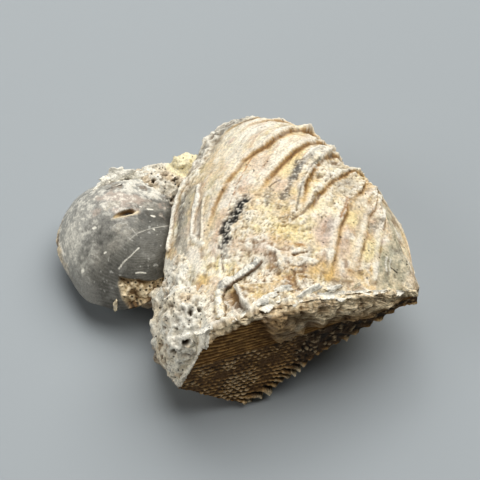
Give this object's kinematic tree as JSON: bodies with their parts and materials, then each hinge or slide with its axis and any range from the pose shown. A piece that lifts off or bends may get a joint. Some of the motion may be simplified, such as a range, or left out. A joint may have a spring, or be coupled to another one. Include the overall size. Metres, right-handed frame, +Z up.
{
  "type": "fossil shell",
  "caption": "Ribbed triangular clam fossil with both valves closed, lying on its side, with rock at its broken corner and a smooth smaller shell attached.",
  "frame": {"origin": "centre of the bounding box, at its bottom, on the surface that the fossil lies on", "axes": "+Z up out of the surface, +X along the specimen's length towards the beak of the ribbed shell, +Y away from the viewer of the picture"},
  "size_m": [0.0744, 0.066, 0.0305],
  "materials": {
    "ribbed_shell": "rough weathered cream and ochre shell",
    "dark_shell": "rough brown shell",
    "smooth_shell": "satin dark grey shell",
    "smooth_shell_underside": "dull grey shell",
    "tube_lime": "matt pale grey lime",
    "pale_rock": "rough pitted off-white rock"
  },
  "bodies": {
    "root": {"upper_valve": "ribbed_shell", "lower_valve": "dark_shell", "side_shell_upper_valve": "smooth_shell", "side_shell_lower_valve": "smooth_shell_underside", "worm_tube": "tube_lime", "rock_matrix": "pale_rock"}
  },
  "joints": []
}
